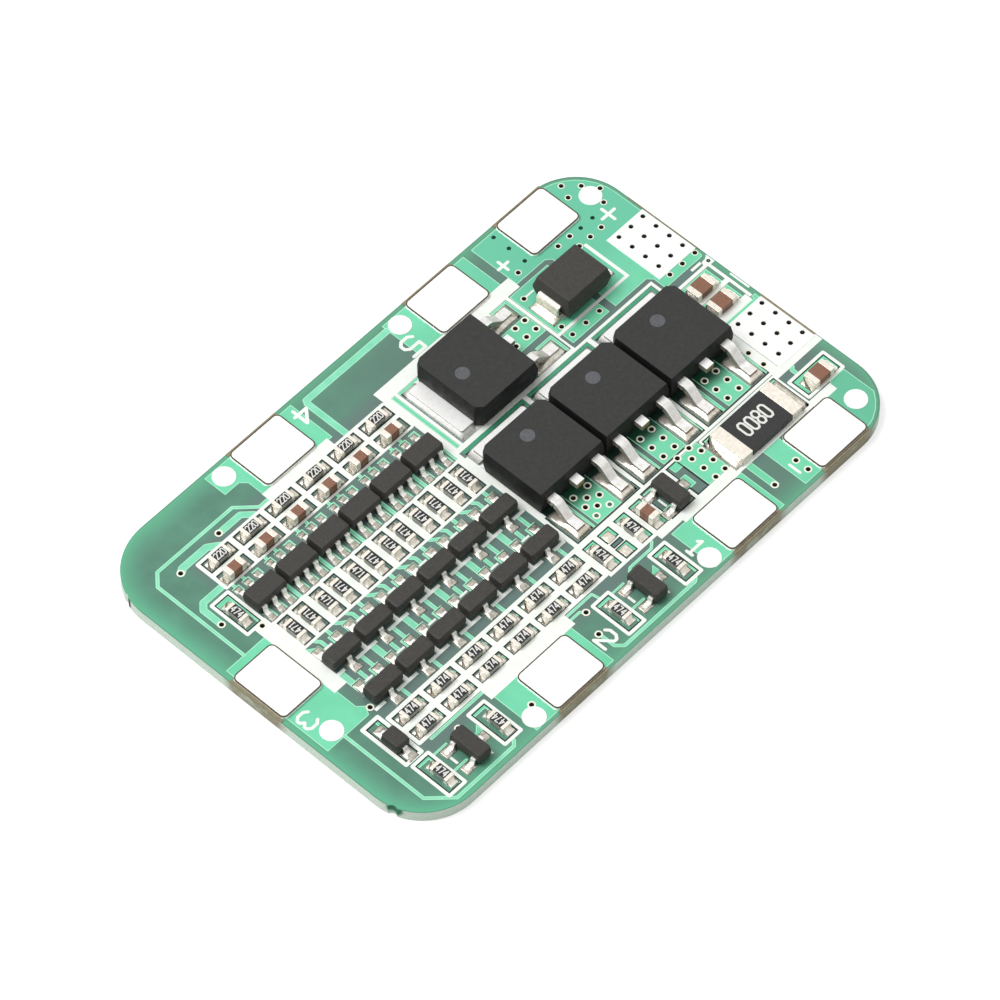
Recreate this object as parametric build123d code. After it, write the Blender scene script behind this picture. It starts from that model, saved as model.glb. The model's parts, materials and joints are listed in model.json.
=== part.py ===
from build123d import *
from math import atan2, tan
import os

# Battery management board: a circuit board with every part soldered on its top face.
# Millimetres, +Z up. The origin is the middle of the board's underside. +X runs along the
# board towards the two output lands, +Y towards the row of cell tabs 4 and 5.

# Circuit board
board_thickness = 1.0
left_upper_corner_radius = 5.1
left_lower_corner_radius = 4.7
right_corner_radius = 4.5
via_diameter = 0.42
via_sides = 6
notch_radius = 0.42
notch_edge_distance = 3.2

# Tinned lands
land_thickness = 0.05
probe_land_diameter = 1.75
disc_sides = 20
output_land_length = 3.9
output_land_width = 5.2
output_land_edge_gap = 0.15
output_via_columns = 3
output_via_rows = 4
output_via_pitch = 1.29
output_via_offset = 0.2

# Nickel tabs for the cell wires
tab_length = 5.0
tab_width = 4.0
tab_thickness = 0.2
tab_corner_radius = 0.45
tab_edge_gap = 0.25
tab_land_rim = 0.03
tab_land_chamfer = 0.3

# Chip resistors and capacitors
chip_length = 1.6
chip_width = 0.8
chip_terminal_length = 0.32
resistor_height = 0.45
capacitor_height = 0.8
output_capacitor_length = 2.0
output_capacitor_width = 1.25
output_capacitor_height = 0.6
output_capacitor_terminal_length = 0.45
chip_land_length = 0.85
chip_land_reach = 0.45

# Small moulded packages with gull-wing leads
small_body_length = 2.9
small_lead_width = 0.4
small_lead_thickness = 0.14
small_lead_foot = 0.35
small_lead_pitch = 0.95
small_land_length = 1.05
body_standoff = 0.06
small_body_draft = 8.0
monitor_body_width = 1.6
monitor_body_height = 1.15
monitor_span = 2.8
monitor_land_width = 0.55
transistor_body_width = 1.3
transistor_body_height = 1.05
transistor_span = 2.4
transistor_land_width = 0.8
diode_body_length = 1.7
diode_body_width = 1.3
diode_body_height = 0.95
diode_span = 2.6
diode_lead_foot = 0.25
diode_land_width = 0.9

# Power transistors with a drain tab
power_body_length = 6.1
power_body_width = 6.6
power_body_height = 2.3
power_body_draft = 10.0
power_body_chamfer = 0.55
drain_tab_width = 5.2
drain_tab_reach = 1.15
drain_tab_chamfer = 0.12
power_metal_thickness = 0.5
power_lead_width = 0.78
power_lead_pitch = 2.285
power_lead_reach = 2.9
power_lead_foot = 1.1
power_lead_bend = 0.3
power_lead_exit = 1.25
power_lead_root = 0.8
stub_reach = 0.75
slug_depth = 4.6
dimple_diameter = 1.14
dimple_depth = 0.05
dimple_offset = 1.3
drain_land_width = 6.1
drain_land_margin = 0.28
lead_land_length = 3.0
lead_land_width = 1.55
lead_land_margin = 0.45

# Surge diode with terminals folded under its body
surge_body_length = 4.5
surge_body_width = 3.6
surge_body_height = 2.2
surge_body_draft = 12.0
surge_terminal_width = 2.05
surge_terminal_thickness = 0.22
surge_terminal_reach = 0.45
surge_terminal_foot = 1.2
surge_terminal_height = 1.2
surge_terminal_bend = 0.3
surge_land_length = 2.35
surge_land_width = 2.5
surge_land_reach = 0.55

# Share of a lead's run to its foot that stays level
small_level_share = 0.45
power_level_share = 0.56

# Shunt resistor
shunt_length = 6.35
shunt_width = 3.2
shunt_height = 0.62
shunt_terminal_length = 1.05
shunt_terminal_step = 0.06
shunt_land_length = 2.4
shunt_land_reach = 0.72

# Clear distances between neighbours along the board
tab_to_array = 1.15
cell_gap = 0.29
array_to_power = 0.6
power_gap = 0.24
power_to_output = 0.82
array_to_upper_drain = 1.85
surge_to_output = 2.35
control_gap = 0.8
driver_gap = 1.25
driver_to_probe = 0.75
probe_to_tab = 0.55
left_column_gap = 0.65

# Clear distances between neighbours across the board
tabs_to_divider = 1.42
divider_gap = 0.8
divider_to_transistors = 1.14
transistor_gap = 1.54
transistors_to_gate = 1.77
gate_to_monitors = 1.4
monitors_to_capacitors = 1.15
filter_gap = 0.8
filter_to_tabs = 1.23
tabs_to_shunt = 0.44
shunt_to_power = 1.38
drain_to_upper = 0.85
upper_to_tabs = 1.03
shunt_to_output = 0.53
output_to_capacitor = 0.95
output_capacitor_gap = 0.68
capacitor_to_output = 2.2

# Small shifts of parts from the middle of their cell or neighbour
gate_resistor_spacing = 1.48
filter_resistor_shift = 0.17
divider_resistor_shift = -0.14
first_tab_shift = 1.27
second_tab_shift = -0.79
third_tab_shift = 1.95
driver_row_shift = 0.36
control_row_shift = -0.2
control_row_start = 0.3
start_resistor_shift = 0.29
surge_shift = 0.35
shunt_shift = -0.84
output_capacitor_shift = -0.62
lower_output_capacitor_shift = -0.42
upper_probe_shift = 1.0
lower_probe_shift = -1.1
positive_probe_shift_x = 0.5
positive_probe_shift_y = -1.15
negative_probe_shift_x = -0.15
negative_probe_shift_y = 0.35
end_probe_shift_x = -0.35
end_probe_gap = 2.1

# Groups of plated holes: the part they serve, the shift of the group's middle from that
# part, the columns and rows, and the pitch along x and y
via_groups = [
    ("positive_output", 0.25, -2.83, 3, 1, 1.35, 0),
    ("power_1", 0.14, -4.23, 2, 2, 1.47, 1.15),
    ("power_1", 0.08, -4.83, 1, 2, 0, 1.0),
    ("power_2", 0.14, -4.8, 2, 3, 1.18, 1.1),
    ("power_3", 0.2, -4.75, 2, 3, 1.2, 1.1),
    ("power_3", 3.57, -5.03, 1, 2, 0, 1.45),
    ("shunt", -4.75, 0.27, 2, 3, 0.98, 1.13),
    ("shunt", -5.3, 2.19, 2, 1, 1.22, 0),
    ("upper_power", 5.87, 0.5, 2, 2, 1.0, 1.1),
    ("upper_power", 4.25, -0.07, 1, 1, 0, 0),
    ("surge", -2.85, 0.21, 1, 2, 0, 3.67),
    ("surge", -1.39, -2.66, 3, 1, 1.43, 0),
    ("surge", 2.93, 3.45, 2, 1, 1.25, 0),
    ("surge", 4.54, 2.32, 3, 1, 1.17, 0),
    ("surge", -1.4, 3.95, 1, 1, 0, 0),
    ("positive_probe", 0.21, 0, 1, 2, 0, 2.21),
    ("positive_probe", -1.23, 1.08, 1, 1, 0, 0),
    ("positive_probe", -0.79, 2.17, 1, 1, 0, 0),
    ("negative_tab", -3.12, -0.6, 1, 2, 0, 1.14),
    ("negative_tab", -5.73, -0.33, 1, 1, 0, 0),
    ("first_filter", -2.66, 1.09, 1, 1, 0, 0),
    ("first_filter", 1.59, 1.52, 1, 1, 0, 0),
    ("first_monitor", -3.8, 0.55, 1, 1, 0, 0),
    ("first_monitor", -1.95, -1.6, 1, 1, 0, 0),
    ("first_transistor", -1.76, -0.42, 1, 1, 0, 0),
    ("first_divider", 1.1, -1.72, 1, 1, 0, 0),
    ("tab_2", -3.3, -0.28, 1, 1, 0, 0),
    ("tab_2", 4.91, 2.13, 1, 1, 0, 0),
    ("tab_2", 4.16, 0.26, 1, 1, 0, 0),
]

cell_count = 6
power_count = 3

# Layout along the board, measured from its left edge
cell_pitch = small_body_length + cell_gap
array_left = tab_edge_gap + tab_width + tab_to_array
array_right = array_left + cell_count * cell_pitch - cell_gap
power_pitch = power_body_width + power_gap
power_left = array_right + array_to_power
power_right = power_left + power_count * power_pitch - power_gap
output_left = power_right + power_to_output
board_length = output_left + output_land_length + output_land_edge_gap

# Layout across the board: both stacks of rows fit between the two rows of tabs
array_rows = [
    (tabs_to_divider, chip_width),
    (divider_gap, chip_width),
    (divider_to_transistors, transistor_span),
    (transistor_gap, transistor_span),
    (transistors_to_gate, chip_length),
    (gate_to_monitors, monitor_span),
    (monitors_to_capacitors, chip_width),
    (filter_gap, chip_width),
]
power_depth = power_lead_reach + power_body_length + drain_tab_reach
power_rows = [
    (tabs_to_shunt, shunt_width),
    (shunt_to_power, power_depth),
    (drain_to_upper, power_body_width),
]
array_depth = sum(gap + depth for gap, depth in array_rows) + filter_to_tabs
power_stack_depth = sum(gap + depth for gap, depth in power_rows) + upper_to_tabs
inner_width = max(array_depth, power_stack_depth)
board_width = 2 * (tab_edge_gap + tab_width) + inner_width


def row_middles(rows):
    """Middles of rows laid one after the other from the lower row of tabs."""
    middles = []
    edge = -inner_width / 2
    for gap, depth in rows:
        middles.append(edge + gap + depth / 2)
        edge += gap + depth
    return middles


(lower_divider_y, upper_divider_y, lower_transistor_y, upper_transistor_y,
 gate_resistor_y, monitor_y, filter_capacitor_y, filter_resistor_y) = row_middles(array_rows)
shunt_y, power_row_y, upper_power_y = row_middles(power_rows)
power_body_y = power_row_y - power_depth / 2 + power_lead_reach + power_body_length / 2

left = -board_length / 2
cell_x = [left + array_left + small_body_length / 2 + i * cell_pitch for i in range(cell_count)]
power_x = [left + power_left + power_body_width / 2 + i * power_pitch for i in range(power_count)]
array_middle = (cell_x[0] + cell_x[-1]) / 2
output_x = left + output_left + output_land_length / 2
upper_power_x = (left + array_right + array_to_upper_drain + drain_tab_reach
                 + power_body_length / 2)
surge_length = surge_body_length + 2 * surge_terminal_reach
surge_x = left + output_left - surge_to_output - surge_length / 2
surge_y = upper_power_y + surge_shift
shunt_x = power_x[-1] + shunt_shift
control_y = (lower_divider_y + upper_divider_y) / 2 + control_row_shift

tab_row_y = board_width / 2 - tab_edge_gap - tab_width / 2
tab_x = [array_middle + first_tab_shift, power_x[1] + second_tab_shift,
         power_x[2] + third_tab_shift]
end_tab_x = left + tab_edge_gap + tab_width / 2
driver_y = -tab_row_y + driver_row_shift

negative_output_y = shunt_y + shunt_width / 2 + shunt_to_output + output_land_width / 2
lower_capacitor_y = (negative_output_y + output_land_width / 2 + output_to_capacitor
                     + output_capacitor_width / 2)
upper_capacitor_y = lower_capacitor_y + output_capacitor_width + output_capacitor_gap
positive_output_y = (upper_capacitor_y + output_capacitor_width / 2 + capacitor_to_output
                     + output_land_width / 2)
output_capacitor_x = output_x + output_capacitor_shift

board_top = board_thickness
seat = board_top + land_thickness

# Round probe lands beside the tabs
probe_reach = tab_length / 2 + probe_to_tab + probe_land_diameter / 2
upper_probe_y = tab_row_y + upper_probe_shift
lower_probe_y = -tab_row_y + lower_probe_shift
end_probe_reach = tab_length / 2 + end_probe_gap + probe_land_diameter / 2
positive_probe = (tab_x[2] + probe_reach + positive_probe_shift_x,
                  tab_row_y + positive_probe_shift_y)
probe_places = [
    (tab_x[0] - probe_reach, upper_probe_y),
    (tab_x[0] - probe_reach, lower_probe_y),
    (tab_x[1] - probe_reach, upper_probe_y),
    (tab_x[1] - probe_reach, lower_probe_y),
    positive_probe,
    (tab_x[2] + probe_reach + negative_probe_shift_x, -tab_row_y + negative_probe_shift_y),
    (end_tab_x + end_probe_shift_x, -end_probe_reach),
]


def via_grid(x, y, columns, rows, pitch_x, pitch_y):
    """Middles of a grid of vias round the point x, y."""
    return [(x + (i - (columns - 1) / 2) * pitch_x, y + (j - (rows - 1) / 2) * pitch_y)
            for i in range(round(columns)) for j in range(round(rows))]


def via_holes(places):
    """Outlines of vias at these places, few-sided because there are so many."""
    return [Pos(x, y) * RegularPolygon(via_diameter / 2, via_sides) for x, y in places]


output_vias = [
    via_grid(output_x + output_via_offset, y + output_via_offset, output_via_columns,
             output_via_rows, output_via_pitch, output_via_pitch)
    for y in (negative_output_y, positive_output_y)
]
via_anchors = {
    "positive_output": (output_x, positive_output_y),
    "power_1": (power_x[0], power_body_y),
    "power_2": (power_x[1], power_body_y),
    "power_3": (power_x[2], power_body_y),
    "shunt": (shunt_x, shunt_y),
    "upper_power": (upper_power_x, upper_power_y),
    "surge": (surge_x, surge_y),
    "positive_probe": positive_probe,
    "negative_tab": (tab_x[2], -tab_row_y),
    "tab_2": (tab_x[0], -tab_row_y),
    "first_filter": (cell_x[0], filter_resistor_y),
    "first_monitor": (cell_x[0], monitor_y),
    "first_transistor": (cell_x[0], lower_transistor_y),
    "first_divider": (cell_x[0], lower_divider_y),
}
board_vias = []
for anchor, shift_x, shift_y, *grid in via_groups:
    anchor_x, anchor_y = via_anchors[anchor]
    board_vias += via_grid(anchor_x + shift_x, anchor_y + shift_y, *grid)

parts = {}
power_lands = []
component_lands = []


def keep(name, *shapes):
    """Add the solids of the shapes to the node of this name."""
    parts.setdefault(name, []).extend(solid for shape in shapes for solid in shape.solids())


def block(length, width, low, high):
    """Plain block round the Z axis, from height low to height high."""
    return Pos(0, 0, low) * extrude(Rectangle(length, width), high - low)


def land(length, width):
    """Tinned copper land on the board's top face."""
    return block(length, width, board_top, seat)


def moulded_body(outline, low, band_low, band_high, high, draft):
    """Moulded body: a straight band where the leads leave it, drafted above and below."""
    band = Pos(0, 0, band_low) * extrude(outline, band_high - band_low)
    upper = Pos(0, 0, band_high) * extrude(outline, high - band_high, taper=draft)
    lower = Pos(0, 0, band_low) * extrude(outline, band_low - low, dir=(0, 0, -1), taper=draft)
    return lower + band + upper


def gull_wing(start, end, foot, exit_height, thickness, width, level_share, bend=0):
    """Lead that runs out along +X, bends down and ends in a flat foot at height zero."""
    half = thickness / 2
    knee = start + (end - foot - start) * level_share
    slope = atan2(exit_height - half, end - foot - knee)
    shift = half * tan(slope / 2)
    corners = [(knee, exit_height), (end - foot, half)]
    upper = [(x + shift, y + half) for x, y in corners]
    lower = [(x - shift, y - half) for x, y in corners]
    outline = Polyline((start, exit_height + half), *upper, (end, thickness), (end, 0),
                       *reversed(lower), (start, exit_height - half), close=True)
    profile = make_face(outline)
    if bend:
        for inner, outer in ((lower[0], upper[0]), (upper[1], lower[1])):
            for corner, radius in ((inner, bend), (outer, bend + thickness)):
                vertex = profile.vertices().sort_by_distance((*corner, 0))[0]
                profile = fillet(vertex, radius)
    return extrude(Plane.XZ * profile, width / 2, both=True)


def board():
    """Board with rounded corners, two break-off notches and plated holes."""
    outline = Rectangle(board_length, board_width)
    corner_radii = {(-1, 1): left_upper_corner_radius, (-1, -1): left_lower_corner_radius,
                    (1, 1): right_corner_radius, (1, -1): right_corner_radius}
    for (side_x, side_y), radius in corner_radii.items():
        corner = (side_x * board_length / 2, side_y * board_width / 2, 0)
        outline = fillet(outline.vertices().sort_by_distance(corner)[0], radius)
    for side in (-1, 1):
        notch_y = side * (board_width / 2 - notch_edge_distance)
        outline -= Pos(left, notch_y) * Circle(notch_radius)
    outline -= via_holes(board_vias + output_vias[0] + output_vias[1])
    return extrude(outline, board_thickness)


def output_land(y, vias):
    """Output land with the plated holes of the board going through it."""
    outline = Pos(output_x, y) * Rectangle(output_land_length, output_land_width)
    outline -= via_holes(vias)
    return Pos(0, 0, board_top) * extrude(outline, land_thickness)


def cell_tab(name, x, y, turn):
    """Nickel tab on its land."""
    place = Pos(x, y, 0) * Rot(0, 0, turn)
    rim = 2 * tab_land_rim
    outline = Rectangle(tab_length + rim, tab_width + rim)
    outline = chamfer(outline.vertices(), tab_land_chamfer)
    power_lands.append(place * Pos(0, 0, board_top) * extrude(outline, land_thickness))
    plate = extrude(RectangleRounded(tab_length, tab_width, tab_corner_radius), tab_thickness)
    keep(name, place * Pos(0, 0, seat) * plate)


def chip(name, x, y, turn, length, width, height, terminal_length):
    """Chip resistor or capacitor: a body between two terminals, on two lands."""
    place = Pos(x, y, 0) * Rot(0, 0, turn)
    body_length = length - 2 * terminal_length
    keep(name + "_bodies", place * block(body_length, width, seat, seat + height))
    for side in (-1, 1):
        end = Pos(side * (length - terminal_length) / 2, 0, 0)
        keep(name + "_terminals", place * end * block(terminal_length, width, seat, seat + height))
        land_middle = length / 2 + chip_land_reach - chip_land_length / 2
        component_lands.append(place * Pos(side * land_middle, 0, 0) * land(chip_land_length, width))


def small_package(body_name, leads_name, x, y, turn, size, span, leads, land_width,
                  foot=small_lead_foot):
    """Small moulded package. Each lead is given as its place along the body and its side."""
    place = Pos(x, y, 0) * Rot(0, 0, turn)
    length, width, height = size
    exit_height = height / 2
    band = small_lead_thickness / 2
    body = moulded_body(Rectangle(length, width), body_standoff, exit_height - band,
                        exit_height + band, height, small_body_draft)
    keep(body_name, place * Pos(0, 0, seat) * body)
    lead = gull_wing(width / 2, span / 2, foot, exit_height, small_lead_thickness,
                     small_lead_width, small_level_share)
    for along, side in leads:
        turned = Rot(0, 0, 90 * side)
        keep(leads_name, place * Pos(along, 0, seat) * turned * lead)
        land_place = Pos(along, side * span / 2, 0)
        component_lands.append(place * land_place * land(land_width, small_land_length))


def power_transistor(number, x, y, turn):
    """Power transistor: moulded body over a drain slug, whose tab leaves the body on +Y."""
    place = Pos(x, y, seat) * Rot(0, 0, turn)
    half_metal = power_metal_thickness / 2
    front = -power_body_length / 2
    tab_end = power_body_length / 2 + drain_tab_reach
    slug_length = tab_end - (power_body_length / 2 - slug_depth)
    slug = Rectangle(drain_tab_width, slug_length)
    tab_corners = slug.vertices().group_by(Axis.Y)[-1]
    slug = chamfer(tab_corners, drain_tab_chamfer)
    slug = Pos(0, tab_end - slug_length / 2, 0) * extrude(slug, power_metal_thickness)

    stub_top = power_lead_exit + half_metal
    stub_end = front - stub_reach
    riser_y = power_body_length / 2 - slug_depth + half_metal
    riser = Pos(0, riser_y, 0) * block(power_lead_width, power_metal_thickness, 0, stub_top)
    stub_length = riser_y - stub_end
    stub = Pos(0, stub_end + stub_length / 2, 0) * block(
        power_lead_width, stub_length, stub_top - power_metal_thickness, stub_top)
    drain = slug + riser + stub

    lead = gull_wing(-power_lead_root, power_lead_reach, power_lead_foot, power_lead_exit,
                     power_metal_thickness, power_lead_width, power_level_share,
                     power_lead_bend)
    leads = [Pos(side * power_lead_pitch, front, 0) * Rot(0, 0, -90) * lead for side in (-1, 1)]

    outline = Rectangle(power_body_width, power_body_length)
    outline = chamfer(outline.vertices().group_by(Axis.Y)[-1], power_body_chamfer)
    body = moulded_body(outline, 0, power_lead_exit - half_metal, stub_top,
                        power_body_height, power_body_draft)
    dimple = Pos(0, dimple_offset, power_body_height - dimple_depth) * extrude(
        RegularPolygon(dimple_diameter / 2, disc_sides), dimple_depth)
    body -= [dimple, drain] + leads

    name = f"power_transistor_{number}"
    keep(name + "_body", place * body)
    keep(name + "_drain", place * drain)
    keep(name + "_leads", *[place * one for one in leads])

    ground = Pos(x, y, 0) * Rot(0, 0, turn)
    drain_land_length = slug_length + drain_land_margin
    drain_land_y = tab_end + drain_land_margin - drain_land_length / 2
    power_lands.append(ground * Pos(0, drain_land_y, 0) * land(drain_land_width, drain_land_length))
    lead_land_y = front - power_lead_reach - lead_land_margin + lead_land_length / 2
    for side in (-1, 1):
        power_lands.append(ground * Pos(side * power_lead_pitch, lead_land_y, 0)
                           * land(lead_land_width, lead_land_length))


def surge_diode(x, y):
    """Surge diode: moulded body with two flat terminals folded down and under it."""
    place = Pos(x, y, 0)
    thickness = surge_terminal_thickness
    body = moulded_body(Rectangle(surge_body_length, surge_body_width), thickness,
                        surge_terminal_height - thickness / 2,
                        surge_terminal_height + thickness / 2,
                        surge_body_height, surge_body_draft)
    keep("surge_diode_body", place * Pos(0, 0, seat) * body)
    root = surge_body_length / 2
    knee = root + surge_terminal_reach - thickness / 2
    path = FilletPolyline((root, surge_terminal_height), (knee, surge_terminal_height),
                          (knee, thickness / 2), (knee - surge_terminal_foot, thickness / 2),
                          radius=surge_terminal_bend)
    profile = Plane.XZ * trace(path, thickness)
    terminal = extrude(profile, surge_terminal_width / 2, both=True)
    land_x = root + surge_terminal_reach + surge_land_reach - surge_land_length / 2
    for turn in (0, 180):
        keep("surge_diode_terminals", place * Rot(0, 0, turn) * Pos(0, 0, seat) * terminal)
        power_lands.append(place * Rot(0, 0, turn) * Pos(land_x, 0, 0)
                           * land(surge_land_length, surge_land_width))


def shunt_resistor(x, y):
    """Shunt resistor: flat body between two plated ends that stand a little proud."""
    place = Pos(x, y, 0)
    body_length = shunt_length - 2 * shunt_terminal_length
    keep("shunt_body", place * block(body_length, shunt_width, seat,
                                     seat + shunt_height - shunt_terminal_step))
    for side in (-1, 1):
        end = Pos(side * (shunt_length - shunt_terminal_length) / 2, 0, 0)
        terminal = block(shunt_terminal_length, shunt_width, seat, seat + shunt_height)
        keep("shunt_terminals", place * end * terminal)
        land_x = side * (shunt_length / 2 + shunt_land_reach - shunt_land_length / 2)
        power_lands.append(place * Pos(land_x, 0, 0) * land(shunt_land_length, shunt_width))


def resistor(name, x, y, turn=0):
    chip(name, x, y, turn, chip_length, chip_width, resistor_height, chip_terminal_length)


def capacitor(name, x, y, turn=0):
    chip(name, x, y, turn, chip_length, chip_width, capacitor_height, chip_terminal_length)


def transistor(name, x, y, turn=0):
    """Three-lead transistor with its pair of leads on +Y and its single lead on -Y."""
    size = (small_body_length, transistor_body_width, transistor_body_height)
    leads = [(-small_lead_pitch, 1), (small_lead_pitch, 1), (0, -1)]
    small_package(name + "_bodies", name + "_leads", x, y, turn, size, transistor_span, leads,
                  transistor_land_width)


def cell_monitor(number, x, y):
    size = (small_body_length, monitor_body_width, monitor_body_height)
    leads = [(i * small_lead_pitch, side) for i in (-1, 0, 1) for side in (-1, 1)]
    name = f"cell_monitor_{number}"
    small_package(name + "_body", name + "_leads", x, y, 0, size, monitor_span, leads,
                  monitor_land_width)


def driver_stage(probe_x):
    """Driver transistor between two resistors, to the left of a probe land."""
    right_x = probe_x - probe_land_diameter / 2 - driver_to_probe - chip_width / 2
    middle_x = right_x - chip_width / 2 - driver_gap - transistor_span / 2
    left_x = middle_x - transistor_span / 2 - driver_gap - chip_width / 2
    resistor("control_resistor", left_x, driver_y, 90)
    transistor("driver_transistor", middle_x, driver_y, 90)
    resistor("control_resistor", right_x, driver_y, 90)


# Board, lands and tabs
keep("circuit_board", board())
keep("output_land_negative", output_land(negative_output_y, output_vias[0]))
keep("output_land_positive", output_land(positive_output_y, output_vias[1]))
for place_x, place_y in probe_places:
    disc = extrude(RegularPolygon(probe_land_diameter / 2, disc_sides), land_thickness)
    keep("probe_lands", Pos(place_x, place_y, board_top) * disc)
cell_tab("cell_tab_1", tab_x[1], -tab_row_y, 0)
cell_tab("cell_tab_2", tab_x[0], -tab_row_y, 0)
cell_tab("cell_tab_3", end_tab_x, 0, 90)
cell_tab("cell_tab_4", tab_x[0], tab_row_y, 0)
cell_tab("cell_tab_5", tab_x[1], tab_row_y, 0)
cell_tab("positive_tab", tab_x[2], tab_row_y, 0)
cell_tab("negative_tab", tab_x[2], -tab_row_y, 0)

# Six cells, each with the same group of parts
for i, x in enumerate(cell_x):
    cell_monitor(i + 1, x, monitor_y)
    capacitor("filter_capacitor", x, filter_capacitor_y)
    resistor("filter_resistor", x + filter_resistor_shift, filter_resistor_y)
    for side in (-1, 1):
        resistor("gate_resistor", x + side * gate_resistor_spacing / 2, gate_resistor_y, 90)
    for y in (upper_transistor_y, lower_transistor_y):
        transistor("balance_transistor", x, y)
    for y in (upper_divider_y, lower_divider_y):
        resistor("divider_resistor", x + divider_resistor_shift, y)

# Power transistors: three side by side, and one turned a quarter above them
for i, x in enumerate(power_x):
    power_transistor(i + 1, x, power_body_y, 0)
power_transistor(power_count + 1, upper_power_x, upper_power_y, 90)
surge_diode(surge_x, surge_y)
shunt_resistor(shunt_x, shunt_y)

# Left column
column_x = left + array_left - left_column_gap
resistor("control_resistor", column_x - chip_width / 2, monitor_y + start_resistor_shift, 90)
diode_size = (diode_body_width, diode_body_length, diode_body_height)
small_package("steering_diode_body", "steering_diode_leads", column_x - diode_body_width / 2,
              control_y, 0, diode_size, diode_span, [(0, 1), (0, -1)], diode_land_width,
              diode_lead_foot)

# Driver stages on the lower edge
driver_stage(tab_x[0] - probe_reach)
driver_stage(tab_x[1] - probe_reach)

# Control row under the power transistors, with one pair of lands left empty
slot_pitch = chip_width + control_gap
control_x = [left + power_left + control_row_start + i * slot_pitch for i in range(4)]
resistor("control_resistor", control_x[0], control_y, 90)
empty_land_y = chip_length / 2 + chip_land_reach - chip_land_length / 2
for side in (-1, 1):
    component_lands.append(Pos(control_x[1], control_y + side * empty_land_y, 0)
                           * land(chip_width, chip_land_length))
resistor("control_resistor", control_x[2], control_y, 90)
capacitor("filter_capacitor", control_x[3], control_y, 90)
transistor("driver_transistor", control_x[3] + chip_width / 2 + control_gap + transistor_span / 2,
           control_y, 90)

# Output capacitors
for y in (upper_capacitor_y, lower_capacitor_y, shunt_y + lower_output_capacitor_shift):
    chip("output_capacitor", output_capacitor_x, y, 0, output_capacitor_length,
         output_capacitor_width, output_capacitor_height, output_capacitor_terminal_length)

keep("power_lands", *power_lands)
keep("component_lands", *component_lands)

os.makedirs("parts", exist_ok=True)
for name, solids in parts.items():
    export_step(Compound(solids), f"parts/{name}.step")
print(len(parts), "nodes, board", round(board_length, 2), "x", round(board_width, 2))
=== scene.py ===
import json
import math

import bpy
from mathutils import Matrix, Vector
from mathutils.geometry import delaunay_2d_cdt

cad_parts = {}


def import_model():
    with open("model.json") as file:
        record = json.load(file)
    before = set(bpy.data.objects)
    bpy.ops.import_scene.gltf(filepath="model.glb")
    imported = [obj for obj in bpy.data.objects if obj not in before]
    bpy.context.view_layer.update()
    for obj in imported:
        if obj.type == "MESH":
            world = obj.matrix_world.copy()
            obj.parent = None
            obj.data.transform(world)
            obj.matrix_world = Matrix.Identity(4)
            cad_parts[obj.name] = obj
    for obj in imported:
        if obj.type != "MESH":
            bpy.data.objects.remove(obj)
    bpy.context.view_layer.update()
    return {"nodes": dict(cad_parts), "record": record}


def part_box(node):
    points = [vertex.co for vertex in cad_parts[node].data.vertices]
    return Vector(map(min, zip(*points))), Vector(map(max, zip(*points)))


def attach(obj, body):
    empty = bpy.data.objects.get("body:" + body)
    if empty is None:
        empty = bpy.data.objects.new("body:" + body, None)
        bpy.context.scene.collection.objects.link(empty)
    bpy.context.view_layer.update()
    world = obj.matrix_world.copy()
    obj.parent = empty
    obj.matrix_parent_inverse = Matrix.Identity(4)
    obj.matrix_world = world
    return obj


# Looks for the battery management board. Artwork is written in millimetres in the frame's
# own axes, and becomes metres where a mesh is made.

MM = 0.001

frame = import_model()
nodes = frame["nodes"]


def box_mm(node):
    """Lowest and highest corner of a CAD node, in millimetres."""
    low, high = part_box(node)
    return low / MM, high / MM


def middle_mm(node):
    low, high = box_mm(node)
    return (low + high) / 2


board_high = box_mm("circuit_board")[1]
board_top = board_high.z
seat = box_mm("component_lands")[1].z


def islands(node):
    """Lowest and highest corner, in millimetres, of each separate solid of a CAD node."""
    mesh = nodes[node].data
    spot = {}
    owner = []
    for vertex in mesh.vertices:
        key = tuple(round(c / MM, 4) for c in vertex.co)
        owner.append(spot.setdefault(key, len(spot)))
    root = list(range(len(spot)))

    def find(i):
        while root[i] != i:
            root[i] = root[root[i]]
            i = root[i]
        return i

    for face in mesh.polygons:
        first = find(owner[face.vertices[0]])
        for v in face.vertices[1:]:
            root[find(owner[v])] = first
    groups = {}
    for key, i in spot.items():
        groups.setdefault(find(i), []).append(key)
    found = []
    for points in groups.values():
        low = Vector(tuple(min(p[k] for p in points) for k in range(3)))
        high = Vector(tuple(max(p[k] for p in points) for k in range(3)))
        found.append((low, high))
    return sorted(found, key=lambda corners: (round(corners[0].x, 3), round(corners[0].y, 3)))


def via_places(reach=0.3, corners=6):
    """Middles of the board's plated holes, found as small closed rings of vertices."""
    points = {(round(v.co.x / MM, 4), round(v.co.y / MM, 4))
              for v in nodes["circuit_board"].data.vertices if v.co.z / MM > board_top - 0.01}
    groups = []
    for p in sorted(points):
        near = [g for g in groups if any(math.dist(p, q) < reach for q in g)]
        merged = [p] + [q for g in near for q in g]
        groups = [g for g in groups if g not in near] + [merged]
    return [(sum(x for x, y in g) / len(g), sum(y for x, y in g) / len(g))
            for g in groups if len(g) == corners]


vias = via_places()

# Corner radii of the board, anticlockwise from the upper right
lower_left_radius = 4.7
corner_radii = [(1, 1, 4.5), (-1, 1, 5.1), (-1, -1, lower_left_radius), (1, -1, 4.5)]

slots = {row["node"]: row["material_slot"] for row in frame["record"]["subparts"]}
tab_names = [name for name in sorted(nodes) if slots[name] == "nickel_tab"]

# Shader helpers

roughness_spread, coat_roughness = 0.08, 0.1


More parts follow.
